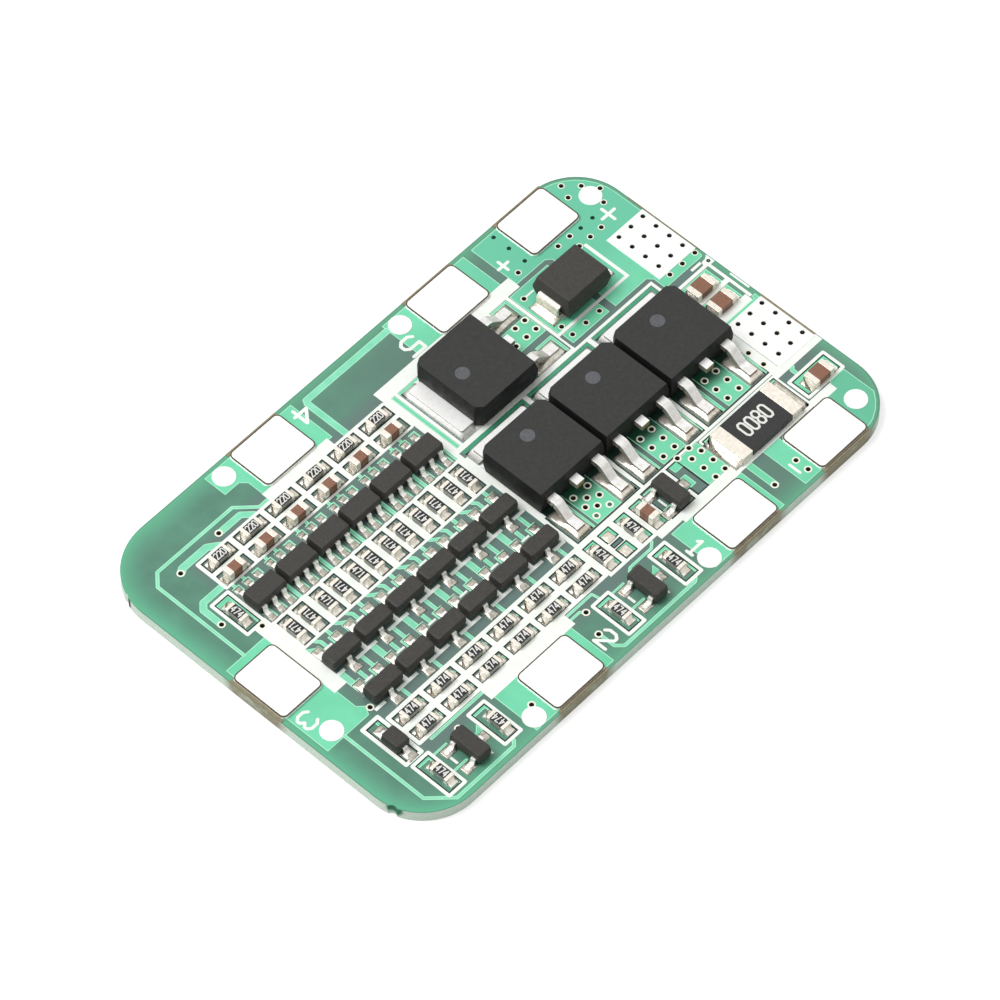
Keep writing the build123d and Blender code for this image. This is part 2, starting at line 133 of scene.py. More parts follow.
def linear(hex_colour):
    """Linear RGBA of a screen colour such as 70d6ac."""
    parts = [int(hex_colour[i:i + 2], 16) / 255 for i in (0, 2, 4)]
    return [c / 12.92 if c <= 0.04045 else ((c + 0.055) / 1.055) ** 2.4 for c in parts] + [1.0]


def fill(tree, socket, value):
    """Link a socket to another one, or give it a plain value."""
    if isinstance(value, bpy.types.NodeSocket):
        tree.links.new(value, socket)
    else:
        socket.default_value = value


def add_node(tree, kind, **inputs):
    """New shader node. An underscore in an input's name stands for a space."""
    node = tree.nodes.new("ShaderNode" + kind)
    for name, value in inputs.items():
        fill(tree, node.inputs[name.replace("_", " ")], value)
    return node


def noise_at(tree, position, size, detail=3.0):
    """Noise with marks of a size given in millimetres."""
    return add_node(tree, "TexNoise", Vector=position, Scale=1 / (size * MM), Detail=detail,
                    Roughness=0.55).outputs["Fac"]


def ramp(tree, value, low, high, to_low=0.0, to_high=1.0):
    return add_node(tree, "MapRange", Value=value, From_Min=low, From_Max=high, To_Min=to_low,
                    To_Max=to_high).outputs["Result"]


def blend_colour(tree, factor, first, second):
    """Mix of two colours, each a colour or a socket."""
    node = add_node(tree, "Mix", Factor=factor)
    node.data_type = "RGBA"
    for name, colour in (("A", first), ("B", second)):
        fill(tree, next(s for s in node.inputs if s.name == name and s.type == "RGBA"), colour)
    return next(s for s in node.outputs if s.type == "RGBA")


def finish(name, light, dark, roughness, metallic=0.0, grain=0.3, bump=0.0, bump_grain=0.1,
           specular=0.5, coat=0.0, paint=None):
    """Procedural material: two colours mixed by noise, with varied roughness and a bump.

    grain and bump_grain are the sizes of the marks and bump the height, in millimetres.
    paint(tree, position, colour) may change the colour further.
    """
    material = bpy.data.materials.new(name)
    material.use_nodes = True
    tree = material.node_tree
    shader = tree.nodes["Principled BSDF"]
    position = add_node(tree, "TexCoord").outputs["Object"]
    cloud = ramp(tree, noise_at(tree, position, grain), 0.3, 0.7)
    colour = blend_colour(tree, cloud, linear(dark), linear(light))
    if paint:
        colour = paint(tree, position, colour)
    rough = ramp(tree, noise_at(tree, position, grain * 1.7, 2.0), 0.25, 0.75,
                 roughness - roughness_spread, roughness + roughness_spread)
    for socket, value in (("Base Color", colour), ("Roughness", rough), ("Metallic", metallic),
                          ("Specular IOR Level", specular), ("Coat Weight", coat),
                          ("Coat Roughness", coat_roughness)):
        fill(tree, shader.inputs[socket], value)
    if bump:
        height = noise_at(tree, position, bump_grain, 2.0)
        node = add_node(tree, "Bump", Height=height, Distance=bump * MM)
        fill(tree, shader.inputs["Normal"], node.outputs["Normal"])
    return material


def axis_value(tree, position, axis):
    return add_node(tree, "SeparateXYZ", Vector=position).outputs[axis]


def product(tree, first, *others):
    """Product of two or more values."""
    for other in others:
        node = add_node(tree, "Math")
        node.operation = "MULTIPLY"
        fill(tree, node.inputs[0], first)
        fill(tree, node.inputs[1], other)
        first = node.outputs["Value"]
    return first


def vector_step(tree, operation, vector, operand=None):
    """Outputs of one vector operation, where the operand is fixed and in metres."""
    node = add_node(tree, "VectorMath")
    node.operation = operation
    fill(tree, node.inputs[0], vector)
    if operand is not None:
        node.inputs[1].default_value = operand
    return node.outputs


def distance_to(tree, position, point):
    """Distance, in metres, from a point given in millimetres."""
    return vector_step(tree, "DISTANCE", position, tuple(c * MM for c in point))["Value"]


def between(tree, value, low, high, fade):
    """1 between two places, in millimetres, falling to 0 over the fade on each side."""
    return product(tree, ramp(tree, value, (low - fade) * MM, low * MM),
                   ramp(tree, value, (high + fade) * MM, high * MM))


def surface_normal(tree, axis):
    return axis_value(tree, add_node(tree, "NewGeometry").outputs["Normal"], axis)


# Paints of the materials, with places in millimetres


def edge_stains(tree, position, colour):
    """Olive stains on the cut edge beside each tab, a dark nick of painted shade at the upper
    notch's wall, and green painted shade in the lower notch.
    """
    streak = noise_at(tree, position, 1.2, 4.0)
    for name in tab_names:
        near = ramp(tree, distance_to(tree, position, middle_mm(name)), 3.9 * MM, 3.2 * MM)
        stain = product(tree, near, ramp(tree, streak, 0.1, 0.5))
        colour = blend_colour(tree, stain, colour, linear("a9a38a"))
    # painted shade: a dark nick on the left edge beside the upper notch
    nick_shade = between(tree, axis_value(tree, position, "Y"), 12.35, 12.55, 0.2)
    left = ramp(tree, axis_value(tree, position, "X"), -24.0 * MM, -24.2 * MM)
    colour = blend_colour(tree, product(tree, nick_shade, left), colour, linear("26332a"))
    # painted shade: green shade on the wall of the lower notch
    notch_place = (-24.95, -13.0, 0.8)
    notch_shade = ramp(tree, distance_to(tree, position, notch_place), 0.8 * MM, 0.55 * MM)
    return blend_colour(tree, notch_shade, colour, linear("2f7f5f"))


def painted_side_shade(dark):
    """Paint that turns to another colour where the surface isn't level: painted shade on the sides.
    """
    def paint(tree, position, colour):
        side_shade = ramp(tree, surface_normal(tree, "Z"), 0.9, 0.45)
        return blend_colour(tree, side_shade, colour, linear(dark))
    return paint


def cut_ends_and_slope_shade(tree, position, colour):
    """Brown cut metal on the ends that face the board's lower edge, and greyer slopes as painted
    shade.
    """
    colour = painted_side_shade("a09c91")(tree, position, colour)
    facing = ramp(tree, surface_normal(tree, "Y"), -0.85, -0.97)
    low = ramp(tree, axis_value(tree, position, "Y"), -4.2 * MM, -4.4 * MM)
    return blend_colour(tree, product(tree, facing, low), colour, linear("8f6a3c"))


def power_row_shadow(tree, x, y):
    """Share of the painted shadow band in front of the row of power transistors."""
    front = ramp(tree, y, -5.6 * MM, -4.5 * MM)
    behind = ramp(tree, y, -3.0 * MM, -3.2 * MM)
    return product(tree, between(tree, x, 0.0, 20.1, 0.2), front, behind)


def copper_tints_and_shadow(tree, position, colour):
    """Deeper green towards the corners of the output end, and a painted shadow in front of the
    power row.
    """
    x, y = axis_value(tree, position, "X"), axis_value(tree, position, "Y")
    upper = product(tree, ramp(tree, x, 10 * MM, 14 * MM), ramp(tree, y, 5 * MM, 9 * MM))
    lower = product(tree, ramp(tree, x, 19 * MM, 22 * MM), ramp(tree, y, -9.5 * MM, -11 * MM))
    colour = blend_colour(tree, upper, colour, linear("66c6a2"))
    colour = blend_colour(tree, lower, colour, linear("62be98"))
    # painted shadow in front of the power row
    return blend_colour(tree, power_row_shadow(tree, x, y), colour, linear("1f5a41"))


def distance_inside(tree, position, radius):
    """Distance inside the board's rounded outline, in millimetres, up to the corner radius."""
    centre = (board_high - Vector((radius, radius, 0))) * MM
    size = vector_step(tree, "ABSOLUTE", position)["Vector"]
    past = vector_step(tree, "SUBTRACT", size, (centre.x, centre.y, 1.0))["Vector"]
    kept = vector_step(tree, "MAXIMUM", past, (0.0, 0.0, 0.0))["Vector"]
    reach = vector_step(tree, "LENGTH", kept)["Value"]
    return ramp(tree, reach, 0.0, radius * MM, radius, 0.0)


def laminate_tints_light_and_shadow(tree, position, colour):
    """Greyer among the parts, a painted shadow in front of the power row, and painted light that
    makes it brighter green towards the outline, with a dark rim.
    """
    x, y = axis_value(tree, position, "X"), axis_value(tree, position, "Y")
    right = ramp(tree, x, -8 * MM, 3 * MM, 0.0, 0.85)
    colour = blend_colour(tree, right, colour, linear("567a6c"))
    middle = product(tree, ramp(tree, x, -20.6 * MM, -19.6 * MM),
                     between(tree, y, -11.4, 11.4, 1.0))
    above = ramp(tree, axis_value(tree, position, "Z"), 0.4 * MM, 0.6 * MM)
    colour = blend_colour(tree, product(tree, above, middle), colour, linear("5c766f"))
    # painted shadow in front of the power row
    painted_shadow_band = product(tree, above, power_row_shadow(tree, x, y))
    colour = blend_colour(tree, painted_shadow_band, colour, linear("1c3a30"))
    # painted light: brighter green towards the outline, where light comes in through the cut edge
    inside = distance_inside(tree, position, lower_left_radius)
    near = ramp(tree, inside, 2.3, 0.0)
    from_left = ramp(tree, x, -22 * MM, -8 * MM)
    bright = blend_colour(tree, from_left, linear("5cb78e"), linear("5ca783"))
    colour = blend_colour(tree, product(tree, near, near), colour, bright)
    return blend_colour(tree, ramp(tree, inside, 0.13, 0.04), colour, linear("548f74"))


laminate = finish("laminate_mask", "558d77", "4b7d69", 0.38, grain=2.0, bump=0.003,
                  bump_grain=0.25, coat=0.25, paint=laminate_tints_light_and_shadow)
board_edge = finish("board_edge", "f2fff2", "dcf4e0", 0.7, grain=0.25, bump=0.02, bump_grain=0.12,
                    paint=edge_stains)
copper = finish("copper_under_mask", "79dfb4", "6bd0a4", 0.33, grain=3.0, bump=0.003,
                bump_grain=0.3, coat=0.25, paint=copper_tints_and_shadow)
# copper under the mask in the shade beside the drains, coloured as painted shadow
shadowed_green = finish("shadowed_green_mask", "45a37c", "35916a", 0.35, grain=1.0, coat=0.25)
# painted highlight on the raised edges of the copper under the mask
copper_edge_highlight = finish("copper_edge_highlight_under_mask", "b8f7d4", "a6efc8", 0.3, grain=1.0, coat=0.25)
trace_fill = finish("trace_under_mask", "8ee6c0", "7ad9b1", 0.32, grain=1.0, coat=0.25)
silk = finish("white_print", "fcfefa", "f4faf1", 0.5, grain=0.6, bump=0.004, bump_grain=0.12)
ring_tin = finish("via_ring", "fffef0", "fbf8e2", 0.35, metallic=0.1, grain=0.2)
# dark copper, darkened further as painted shade inside the holes
barrel = finish("via_barrel", "241f16", "12100c", 0.55, metallic=0.4, grain=0.2)
tinned_land = finish("tinned_land", "fffffd", "fafaf7", 0.35, metallic=0.35, grain=0.5,
                     bump=0.003, bump_grain=0.3)
nickel = finish("nickel_tab", "fffffd", "fdfcf9", 0.36, metallic=0.45, grain=1.2, bump=0.002,
                bump_grain=0.4)
lead_tin = finish("tinned_lead", "fffefa", "efede6", 0.26, metallic=0.5, bump=0.003,
                  bump_grain=0.2)
foot_solder = finish("foot_solder", "d9d4c8", "938e82", 0.28, metallic=0.7, grain=0.22,
                     bump=0.008, bump_grain=0.2)
drain_solder = finish("drain_solder", "ffffff", "f1efe8", 0.3, metallic=0.15, bump=0.004,
                      bump_grain=0.3)
power_lead_tin = finish("tinned_power_lead", "ffffff", "e4e1d8", 0.24, metallic=0.4, grain=0.35,
                        bump=0.004, bump_grain=0.2, paint=cut_ends_and_slope_shade)
solder = finish("solder", "fbf9f3", "cfc4ad", 0.24, metallic=0.5, grain=0.4, bump=0.006,
                bump_grain=0.35)
drain_metal = finish("plated_drain", "ffffff", "f8f7f3", 0.3, metallic=0.15, grain=0.35,
                     bump=0.003, bump_grain=0.2, paint=cut_ends_and_slope_shade)
terminal = finish("tinned_terminal", "fff9ee", "ece3d3", 0.32, metallic=0.4, grain=0.25,
                  bump=0.006, bump_grain=0.2)
alumina = finish("resistor_ceramic", "a3a59d", "888a82", 0.5, grain=0.15, bump=0.004,
                 bump_grain=0.08)
olive = finish("olive_edge", "958b6f", "80775d", 0.5, grain=0.5, bump=0.003, bump_grain=0.2)
small_epoxy = finish("moulded_epoxy", "44423f", "3a3835", 0.6, grain=0.2, bump=0.006,
                     bump_grain=0.06, specular=0.28)
# the sides of the power bodies darkened as painted shade
power_epoxy = finish("power_epoxy", "3a3a39", "333332", 0.58, bump=0.006, bump_grain=0.08,
                     specular=0.22, paint=painted_side_shade("181918"))
dimple_epoxy = finish("dimple_epoxy", "5d5f63", "4c4e51", 0.4, grain=0.2, bump=0.004)
glaze = finish("resistor_glaze", "1c1c1d", "121213", 0.3, grain=0.15, bump=0.004)
brown_ceramic = finish("capacitor_ceramic", "926650", "7d543f", 0.5, grain=0.15, bump=0.004,
                       bump_grain=0.06)
shunt_black = finish("shunt_coat", "232323", "191919", 0.42, bump=0.005, bump_grain=0.08)
value_print = finish("value_print", "f3f3ee", "dededa", 0.6, grain=0.1)
rim_shade = finish("tab_edge_shade", "54452f", "3a3022", 0.5)
filled_via = finish("filled_via", "3d6b5a", "2b5546", 0.35, coat=0.2)
tented_via = finish("tented_via", "1a4333", "103026", 0.5, specular=0.1)
# painted shade of a hole
painted_hole_shade = finish("painted_hole_shade", "0e110f", "080a09", 0.6, specular=0.1)
print_shade = finish("print_edge_shade", "23382f", "182821", 0.5, grain=0.4, specular=0.2)

# CAD nodes: materials, and rounded edges by modifiers

# Material of each slot, and the width of its rounded edges where it has them
slot_looks = {
    "board_laminate": (laminate, None),
    "tinned_land": (tinned_land, None),
    "nickel_tab": (nickel, 0.03),
    "moulded_epoxy": (small_epoxy, 0.09),
    "power_epoxy": (power_epoxy, 0.05),
    "tinned_lead": (lead_tin, 0.025),
    "plated_drain": (drain_metal, 0.03),
    "resistor_glaze": (glaze, 0.02),
    "capacitor_ceramic": (brown_ceramic, 0.03),
    "tinned_terminal": (terminal, 0.06),
    "shunt_coat": (shunt_black, 0.04),
}
soft_bodies = ("balance_transistor_bodies", "driver_transistor_bodies", "steering_diode_body")
soft_bevel = 0.17
sharp_angle = math.radians(35)


def clear_shading(mesh):
    """Drop the stored normals, so that the modifiers' rounded edges shade by themselves."""
    if "custom_normal" in mesh.attributes:
        mesh.attributes.remove(mesh.attributes["custom_normal"])
    mesh.polygons.foreach_set("use_smooth", [True] * len(mesh.polygons))


def weld_points(piece):
    piece.modifiers.new("weld", "WELD").merge_threshold = 0.0005 * MM


def round_edges(piece, width, segments=2):
    weld_points(piece)
    bevel = piece.modifiers.new("bevel", "BEVEL")
    bevel.width = width * MM
    bevel.segments = segments
    bevel.limit_method = "ANGLE"
    bevel.angle_limit = sharp_angle
    bevel.harden_normals = True


def split_edges(piece):
    weld_points(piece)
    piece.modifiers.new("split", "EDGE_SPLIT").split_angle = sharp_angle


# The board's cut edges, and the ceramic under the resistors' glaze
side_looks = {"board_laminate": board_edge, "resistor_glaze": alumina}

for name, piece in nodes.items():
    slot_name = slots[name]
    material, bevel_width = slot_looks[slot_name]
    if slot_name == "tinned_lead" and name.startswith("power_transistor"):
        material = power_lead_tin
    piece.data.materials.clear()
    piece.data.materials.append(material)
    clear_shading(piece.data)
    if name in soft_bodies:
        round_edges(piece, soft_bevel, 3)
    elif bevel_width:
        round_edges(piece, bevel_width)
    else:
        split_edges(piece)
    if slot_name in side_looks:
        piece.data.materials.append(side_looks[slot_name])
        for face in piece.data.polygons:
            face.material_index = int(abs(face.normal.z) < 0.5)

# Mesh helpers


def new_piece(name, vertices, faces, materials, smooth=False, face_material=None):
    """Mesh object from points in millimetres, riding on the board."""
    mesh = bpy.data.meshes.new(name)
    mesh.from_pydata([tuple(c * MM for c in v) for v in vertices], [], faces)
    for material in materials:
        mesh.materials.append(material)
    if face_material:
        mesh.polygons.foreach_set("material_index", face_material)
    mesh.polygons.foreach_set("use_smooth", [smooth] * len(mesh.polygons))
    mesh.update()
    piece = bpy.data.objects.new(name, mesh)
    bpy.context.scene.collection.objects.link(piece)
    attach(piece, "root")
    return piece


def rect(x0, y0, x1, y1):
    """Rectangle as a shape: a function from growth to corner points."""
    return lambda g: [(x0 - g, y0 - g), (x1 + g, y0 - g), (x1 + g, y1 + g), (x0 - g, y1 + g)]


def rects(*boxes, x=0.0, y=0.0):
    """Rectangles, each given by two corners measured from x, y."""
    return [rect(x + x0, y + y0, x + x1, y + y1) for x0, y0, x1, y1 in boxes]


def round_rect(x0, y0, x1, y1, radius, steps=5):
    """Rectangle with rounded corners as a shape."""
    def points(g):
        r = max(radius + g, 0.01)
        corners = [(x1 + g - r, y1 + g - r, 0), (x0 - g + r, y1 + g - r, 90),
                   (x0 - g + r, y0 - g + r, 180), (x1 + g - r, y0 - g + r, 270)]
        return [(x + r * math.cos(math.radians(start + 90 * k / steps)),
                 y + r * math.sin(math.radians(start + 90 * k / steps)))
                for x, y, start in corners for k in range(steps + 1)]
    return points


def disc(x, y, radius, sides=20):
    """Round shape with this many sides."""
    return lambda g: [(x + (radius + g) * math.cos(2 * math.pi * k / sides),
                       y + (radius + g) * math.sin(2 * math.pi * k / sides))
                      for k in range(sides)]


def inset(shape, width):
    """The same shape, drawn in by a width."""
    return lambda g: shape(g - width)


def poly(*points):
    """Polygon as a shape. Its sides move out by the growth and meet in sharp corners."""
    area = sum(a[0] * b[1] - b[0] * a[1] for a, b in zip(points, points[1:] + points[:1]))
    ordered = points if area > 0 else points[::-1]

    def grown(g):
        out = []
        for i, (x, y) in enumerate(ordered):
            ax, ay = ordered[i - 1]
            bx, by = ordered[i + 1 - len(ordered)]
            first = Vector((x - ax, y - ay)).normalized()
            second = Vector((bx - x, by - y)).normalized()
            n1, n2 = Vector((first.y, -first.x)), Vector((second.y, -second.x))
            shift = (n1 + n2) * (g / max(1 + n1.dot(n2), 0.3))
            out.append((x + shift.x, y + shift.y))
        return out
    return grown


def track(width, *points, sides=12):
    """Line of one width with round ends, as a list of shapes."""
    shapes = [disc(x, y, width / 2, sides) for x, y in points]
    for (ax, ay), (bx, by) in zip(points, points[1:]):
        along = Vector((bx - ax, by - ay))
        if along.length < 1e-6:
            continue
        across = Vector((-along.y, along.x)).normalized()

        def band(g, a=(ax, ay), b=(bx, by), n=across):
            w = width / 2 + g
            return [(a[0] + n.x * w, a[1] + n.y * w), (a[0] - n.x * w, a[1] - n.y * w),
                    (b[0] - n.x * w, b[1] - n.y * w), (b[0] + n.x * w, b[1] + n.y * w)]
        shapes.append(band)
    return shapes


def sheet_triangles(shapes, holes, grow=0.0):
    """Points and triangles of the area that the shapes cover and the holes don't."""
    points, loops = [], []
    for outline in [s(grow) for s in shapes] + [h(-grow) for h in holes]:
        loops.append(list(range(len(points), len(points) + len(outline))))
        points.extend(Vector(p) for p in outline)
    flat, _, triangles, _, _, sources = delaunay_2d_cdt(points, [], loops, 1, 1e-5)
    kept = [t for t, source in zip(triangles, sources)
            if source and all(s < len(shapes) for s in source)]
    return flat, kept


def layer(name, shapes, holes, low, high, material, grow=0.0):
    """Thin closed sheet over the area of the shapes, from height low to height high."""
    flat, kept = sheet_triangles(shapes, holes, grow)
    used = sorted({v for t in kept for v in t})
    index = {v: i for i, v in enumerate(used)}
    count = len(used)
    vertices = [(flat[v].x, flat[v].y, low) for v in used]
    vertices += [(flat[v].x, flat[v].y, high) for v in used]
    faces, edges = [], {}
    for t in kept:
        a, b, c = (index[v] for v in t)
        turn = ((vertices[b][0] - vertices[a][0]) * (vertices[c][1] - vertices[a][1])
                - (vertices[c][0] - vertices[a][0]) * (vertices[b][1] - vertices[a][1]))
        if turn < 0:
            b, c = c, b
        faces.append((a + count, b + count, c + count))
        faces.append((c, b, a))
        for edge in ((a, b), (b, c), (c, a)):
            edges[edge] = True
    for a, b in edges:
        if (b, a) not in edges:
            faces.append((a, b, b + count, a + count))
    return new_piece(name, vertices, faces, [material])


# Strokes of each sign, on a grid four units wide and six high
glyphs = {
    "0": [[(0, 1), (0, 5), (1, 6), (3, 6), (4, 5), (4, 1), (3, 0), (1, 0), (0, 1)]],
    "1": [[(1, 5), (2, 6), (2, 0)], [(1, 0), (3, 0)]],
    "2": [[(0, 5), (1, 6), (3, 6), (4, 5), (4, 4), (0, 0), (4, 0)]],
    "3": [[(0, 5), (1, 6), (3, 6), (4, 5), (4, 4), (3, 3), (4, 2), (4, 1), (3, 0), (1, 0),
           (0, 1)]],
    "4": [[(3, 0), (3, 6), (0, 2), (4, 2)]],
    "5": [[(4, 6), (0, 6), (0, 3.5), (3, 3.5), (4, 2.5), (4, 1), (3, 0), (1, 0), (0, 1)]],
    "7": [[(0, 6), (4, 6), (1.5, 0)]],
    "8": [[(1, 3), (0, 4), (0, 5), (1, 6), (3, 6), (4, 5), (4, 4), (3, 3), (1, 3), (0, 2),
           (0, 1), (1, 0), (3, 0), (4, 1), (4, 2), (3, 3)]],
    "+": [[(0, 3), (4, 3)], [(2, 1), (2, 5)]],
    "-": [[(0, 3), (4, 3)]],
}
glyph_width, glyph_height, glyph_step = 4, 6, 5.6


def number(signs, x, y, height, angle=0.0, stroke=0.2, squeeze=1.0):
    """Digits and signs centred on x, y. height is a digit's height and squeeze its width."""
    unit = height / glyph_height
    length = (len(signs) - 1) * glyph_step + glyph_width
    turn = math.radians(angle)
    shapes = []
    for i, sign in enumerate(signs):
        for line in glyphs[sign]:
            points = []
            for u, v in line:
                px = (u + i * glyph_step - length / 2) * unit * squeeze
                py = (v - glyph_height / 2) * unit
                points.append((x + px * math.cos(turn) - py * math.sin(turn),
                               y + px * math.sin(turn) + py * math.cos(turn)))
            shapes += track(stroke, *points, sides=8)
    return shapes


# Artwork, read off the photograph in board millimetres

cell_x = [middle_mm(f"cell_monitor_{i}_body").x for i in range(1, 7)]
power_x = [middle_mm(f"power_transistor_{i}_body").x for i in range(1, 4)]
edge_inset = 0.28


def outside_board(far=3.0, steps=8):
    """Holes that keep shapes off the board's rim: its four corners, and a strip per side."""
    half_x, half_y = board_high.x - edge_inset, board_high.y - edge_inset
    holes = []
    for i, (sx, sy, radius) in enumerate(corner_radii):
        r = radius - edge_inset
        arc = []
        for k in range(steps + 1):
            a = math.radians(90 * i + 90 * k / steps)
            arc.append((sx * (half_x - r) + r * math.cos(a), sy * (half_y - r) + r * math.sin(a)))
        holes.append(poly(*arc, (sx * (half_x + far), sy * (half_y + far))))
    out_x, out_y = half_x + far, half_y + far
    return holes + rects((half_x, -out_y, out_x, out_y), (-out_x, -out_y, -half_x, out_y),
                         (-out_x, half_y, out_x, out_y), (-out_x, -out_y, out_x, -half_y))


pours = [
    # tab 4
    poly((-13.9, 15.72), (-13.9, 13.66), (-12.5, 13.66), (-12.05, 13.2), (-12.05, 11.6),
         (-5.12, 11.6), (-5.12, 15.72)),
    # tab 5
    rect(4.3, 11.8, 12.85, 15.7),
    # tab 3
    poly((-24.5, 3.3), (-24.5, -6.45), (-20.4, -6.45), (-20.0, -5.8), (-20.5, -5.3),
         (-20.5, 3.3)),
    # tab 2
    rect(-13.5, -15.85, -5.62, -11.7),
    # tab 1
    rect(4.95, -15.85, 12.25, -11.6),
    # positive side
    poly((13.65, 15.68), (13.65, 11.15), (16.65, 11.15), (17.05, 10.8), (17.05, 4.62),
         (20.35, 4.62), (20.7, 4.2), (20.7, 3.05), (24.6, 3.05), (24.88, 3.4), (24.88, 15.68)),
    *rects((12.42, 5.95, 16.45, 10.75), (12.55, 4.62, 16.4, 5.68)),
    # upper power transistor
    *rects((0.12, 4.3, 0.45, 10.8), (0.75, 10.55, 2.75, 10.8), (9.3, 6.82, 12.05, 8.83),
           (11.83, 8.9, 12.07, 10.78), (10.4, 10.58, 12.07, 10.78), (11.72, 4.5, 11.97, 6.3),
           (10.3, 6.06, 11.97, 6.3)),
    # between the leads of the lower power transistors
    *rects((1.66, -7.25, 1.87, -4.0), (2.1, -7.25, 4.6, -3.3), (8.5, -7.25, 8.7, -4.0),
           (9.05, -7.25, 11.4, -3.3), (13.07, -7.25, 13.2, -4.0), (15.34, -7.25, 15.6, -4.0),
           (15.95, -7.25, 18.28, -3.3), (19.91, -7.25, 20.09, -4.0)),
    # control row
    *rects((-0.3, -8.95, 0.85, -7.9), (-0.3, -10.7, 0.85, -9.75), (1.25, -8.95, 2.45, -7.9),
           (1.25, -10.75, 2.45, -9.62), (2.95, -8.95, 4.1, -7.9), (2.95, -10.7, 4.1, -9.75),
           (4.5, -8.85, 5.7, -7.9), (4.5, -10.7, 5.7, -9.75), (6.05, -8.1, 8.0, -7.92),
           (6.05, -10.02, 7.0, -9.85), (8.3, -9.97, 9.45, -8.9), (9.95, -10.75, 12.05, -7.65)),
    round_rect(9.05, -8.35, 10.3, -7.65, 0.12),
    # shunt
    *rects((19.58, -11.3, 19.86, -7.95), (12.24, -8.2, 13.2, -8.0)),
    # negative side
    rect(14.6, -15.7, 16.3, -11.6),
    poly((22.5, -11.05), (24.0, -11.05), (24.0, -13.95), (23.5, -14.9), (22.7, -15.4),
         (21.6, -15.62), (21.0, -15.62), (21.0, -11.6), (22.3, -11.3)),
    rect(12.78, -14.3, 13.38, -11.6),
    # output capacitors
    *rects((21.1, 0.5, 23.95, 2.1), (21.1, -1.45, 23.95, 0.05), (20.55, -10.8, 23.95, -9.12),
           (21.1, -2.45, 24.78, -2.2), (24.32, -2.4, 24.78, -1.95)),
    # left column
    *rects((-21.1, 7.05, -19.9, 7.6), (-20.08, 4.45, -19.9, 7.6), (-20.65, -8.1, -20.3, -7.15),
           (-20.75, -10.85, -20.42, -9.8)),
]
for x, y in ((-20.68, -13.3), (-15.0, -13.25), (-2.5, -13.45), (3.3, -13.5)):
    pours += rects((-0.6, 1.32, 0.62, 1.62), (0.42, 0.45, 0.62, 1.62), (0.42, -1.5, 0.62, -0.45),
                   x=x, y=y)
driver_places = [(low + high) / 2 for low, high in islands("driver_transistor_bodies")]
stage_places = [(place.x, place.y) for place in driver_places if place.y < -12]
for x, y in stage_places:
    pours += rects((-2.03, 1.42, -0.75, 1.6), (-2.03, -0.5, -0.75, -0.3), x=x, y=y)
    pours.append(poly((x + 0.7, y + 0.62), (x + 1.25, y + 0.65), (x + 1.72, y + 1.08),
                      (x + 1.75, y + 0.35), (x + 1.42, y - 0.3), (x + 0.7, y - 0.35)))
# strips beside the drains of the lower power transistors, coloured as painted shadow
deep_pours = []
for x in power_x:
    deep_pours += rects((-3.05, 3.7, 3.25, 3.97), (3.07, 3.0, 3.25, 3.97), x=x)


def cell_copper():
    """Copper of each cell round its two transistors, and the neck of each monitor land."""
    shapes = []
    for x in cell_x:
        for low, high in ((-0.7, 0.05), (-4.6, -3.85)):
            shapes += rects((-1.4, low, -0.5, high), (0.4, low, 1.35, high), x=x)
        shapes += track(0.3, (x - 0.95, 0.0), (x - 1.3, 0.25), (x - 1.55, 0.48), sides=8)
        shapes += track(0.3, (x - 0.15, -0.4), (x - 0.15, 0.15), (x - 0.42, 0.48), sides=8)
        shapes += rects((0.65, 0.0, 0.95, 0.5), (-1.4, -3.9, -0.87, -2.7),
                        (0.75, -3.9, 1.07, -2.7), (-0.3, -4.3, 0.02, -3.4),
                        (0.25, -3.45, 0.42, -2.3), (0.25, -7.35, 0.42, -6.2),
                        (0.68, -7.5, 0.97, -6.6), (0.72, -8.02, 0.97, -7.78),
                        (1.05, -8.45, 1.3, -8.2), (1.05, -10.15, 1.3, -9.85),
                        (-0.15, -9.52, 0.3, -9.4), (1.5, 3.75, 1.8, 5.2), x=x)
        for step in (-0.95, 0, 0.95):
            shapes += rects((0.27, 3.85, 0.42, 4.7), x=x + step)
        for step in (-0.9, 0.05):
            shapes += track(0.26, (x + step, 7.5), (x + step + 0.02, 8.0), sides=8)
            shapes += rects((-0.33, 7.05, 0.33, 7.68), x=x + step)
        shapes += rects((0.72, 7.05, 1.38, 7.72), x=x)
    return shapes


traces = cell_copper()
for width, *points in (
        (0.62, (-20.8, 11.27), (-20.4, 11.5), (-18.0, 11.5), (-17.2, 10.9)),
        (0.55, (-16.55, 11.7), (-14.4, 11.7), (-13.7, 11.0)),
        (0.55, (-19.5, 8.4), (-21.5, 8.4), (-21.95, 7.95), (-21.95, 6.18)),
        (0.55, (-4.25, 11.1), (-4.25, 14.9)),
        (0.55, (-4.1, 15.15), (4.3, 15.15)),
        (0.25, (-18.9, -10.93), (-13.8, -10.93)),
        (0.22, (-5.2, -10.95), (-2.6, -10.95), (-2.5, -11.5)),
        (0.22, (-5.2, -11.35), (-4.3, -11.35), (-3.97, -11.72)),
        (0.28, (-4.7, -13.58), (-4.7, -15.0), (-4.2, -15.52), (3.1, -15.52), (3.4, -15.3)),
        (0.22, (0.6, -11.6), (0.9, -11.4), (3.1, -11.4), (3.55, -11.05)),
        (0.36, (21.4, -8.9), (21.4, -8.45), (21.65, -8.2))):
    traces += track(width, *points)
loop = track(0.28, (-12.1, 11.2), (-13.0, 11.2), (-14.35, 12.55), (-21.85, 12.55),
             (-22.72, 11.65), (-22.72, 3.3))
loop += track(0.28, (-22.8, -6.4), (-22.8, -13.85), (-21.2, -15.5), (-15.5, -15.5),
              (-15.15, -15.15))

print_corner = 0.15


